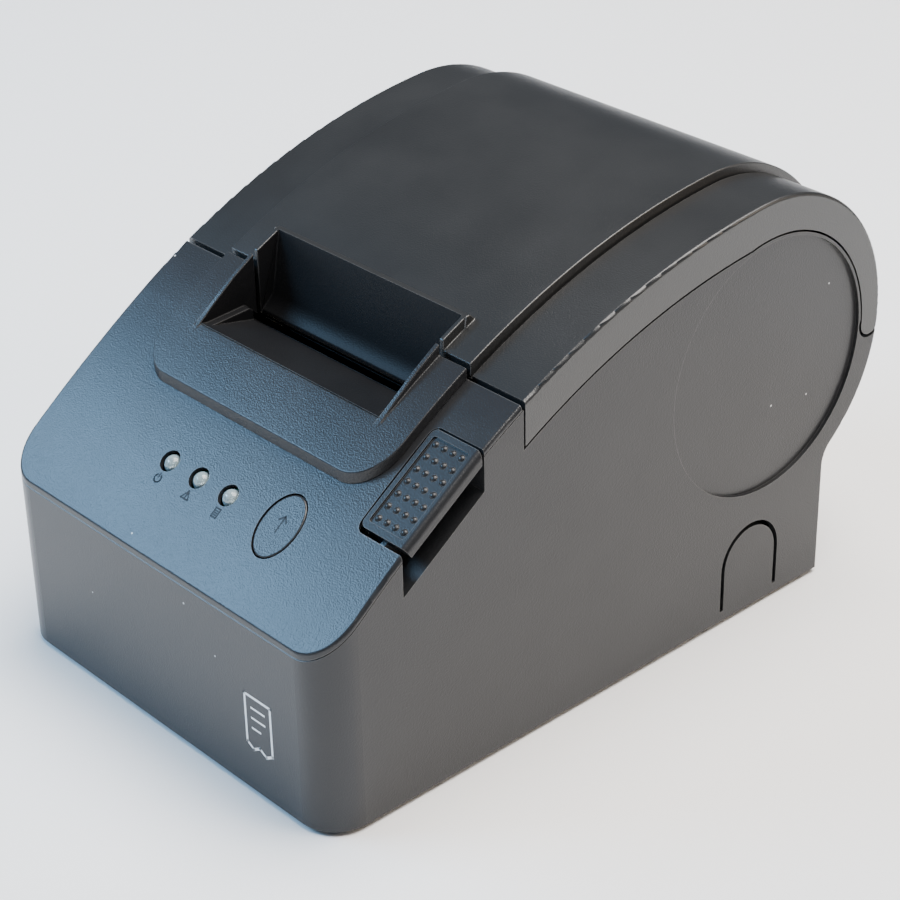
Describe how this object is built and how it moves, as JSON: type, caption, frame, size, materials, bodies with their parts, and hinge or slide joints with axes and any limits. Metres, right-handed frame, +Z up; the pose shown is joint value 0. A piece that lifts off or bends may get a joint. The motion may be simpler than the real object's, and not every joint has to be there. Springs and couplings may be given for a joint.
{
  "type": "receipt printer",
  "caption": "Desktop thermal receipt printer with a sloped control panel, recessed paper exit, tear bar and a rear-hinged roll lid.",
  "frame": {"origin": "middle of the footprint, on the surface that the feet stand on", "axes": "+X to the printer's right side, +Y to the rear, +Z up"},
  "size_m": [0.1324, 0.2, 0.1255],
  "materials": {
    "case_plastic": "fine-grained satin black",
    "inner_plastic": "plain matt black",
    "foot_rubber": "matt",
    "platen_rubber": "ground smooth",
    "bright_steel": "bright",
    "frame_steel": "zinc plated",
    "screw_steel": "dark zinc",
    "led_lens": "clear",
    "circuit_board": "green solder mask",
    "black_component": "moulded",
    "capacitor_sleeve": "sleeved",
    "connector_plastic": "ivory",
    "socket_metal": "nickel plated",
    "motor_can": "plated",
    "gear_plastic": "natural acetal",
    "head_ceramic": "glazed ceramic",
    "head_aluminium": "extruded",
    "flat_cable": "satin film"
  },
  "bodies": {
    "base": {"lower_case": "case_plastic", "front_panel": "case_plastic", "exit_surround": "case_plastic", "power_switch_body": "case_plastic", "bottom_cover": "inner_plastic", "inner_frame": "inner_plastic", "rubber_feet": "foot_rubber", "tear_bar": "bright_steel", "head_pin": "bright_steel", "hinge_pins": "bright_steel", "lever_pin": "bright_steel", "idler_stud": "bright_steel", "lever_spring": "bright_steel", "head_springs": "bright_steel", "mech_frame": "frame_steel", "cover_screws": "screw_steel", "frame_screws": "screw_steel", "board_screws": "screw_steel", "power_led": "led_lens", "error_led": "led_lens", "paper_led": "led_lens", "main_board": "circuit_board", "panel_board": "circuit_board", "main_processor": "black_component", "buzzer": "black_component", "dc_jack": "black_component", "drawer_socket": "black_component", "feed_switch": "black_component", "paper_sensor": "black_component", "power_capacitors": "capacitor_sleeve", "ribbon_header": "connector_plastic", "usb_socket": "socket_metal", "stepper_motor": "motor_can", "head_ribbon": "flat_cable"},
    "lid": {"lid_frame": "case_plastic", "lid_panel": "case_plastic", "platen_bracket": "inner_plastic", "platen_bushings": "gear_plastic", "bracket_screws": "screw_steel"},
    "platen": {"platen_roller": "platen_rubber", "platen_shaft": "bright_steel", "platen_gear": "gear_plastic"},
    "idler": {"idler_gear": "gear_plastic"},
    "pinion": {"motor_pinion": "gear_plastic", "motor_shaft": "bright_steel"},
    "head": {"print_head": "head_ceramic", "head_bar": "head_aluminium"},
    "feed_button": {"feed_button": "case_plastic"},
    "open_lever": {"open_lever": "case_plastic"},
    "power_rocker": {"power_rocker": "case_plastic"}
  },
  "joints": [
    {"name": "lid_hinge", "type": "hinge", "parent": "base", "child": "lid", "pos_m": [0, 0.0963, 0.0735], "axis": [-1, 0, 0], "range_deg": [0, 70]},
    {"name": "platen_spin", "type": "hinge", "parent": "lid", "child": "platen", "pos_m": [0, -0.031, 0.0785], "axis": [1, 0, 0], "continuous": true},
    {"name": "idler_spin", "type": "hinge", "parent": "base", "child": "idler", "pos_m": [0, -0.031, 0.065], "axis": [1, 0, 0], "continuous": true},
    {"name": "pinion_spin", "type": "hinge", "parent": "base", "child": "pinion", "pos_m": [0, -0.03775, 0.05696], "axis": [1, 0, 0], "continuous": true},
    {"name": "head_rock", "type": "hinge", "parent": "base", "child": "head", "pos_m": [0, -0.0412, 0.0696], "axis": [1, 0, 0], "range_deg": [0, 3], "stiffness_Nm_per_rad": 0.6, "springref_deg": -2.86},
    {"name": "feed_press", "type": "slide", "parent": "base", "child": "feed_button", "axis": [0, 0.6069, -0.7948], "range_m": [0, 0.0008], "stiffness_N_per_m": 500, "springref_m": -0.0004},
    {"name": "lever_lift", "type": "hinge", "parent": "base", "child": "open_lever", "pos_m": [0, -0.06903, 0.07043], "axis": [1, 0, 0], "range_deg": [0, 10], "stiffness_Nm_per_rad": 0.08, "springref_deg": -5.73},
    {"name": "power_rock", "type": "hinge", "parent": "base", "child": "power_rocker", "pos_m": [-0.0598, 0.01, 0.026], "axis": [0, 0, -1], "range_deg": [0, 16]}
  ],
  "couplings": [
    {"joint": "idler_spin", "follows": "platen_spin", "ratio": -0.8},
    {"joint": "pinion_spin", "follows": "platen_spin", "ratio": 2}
  ]
}
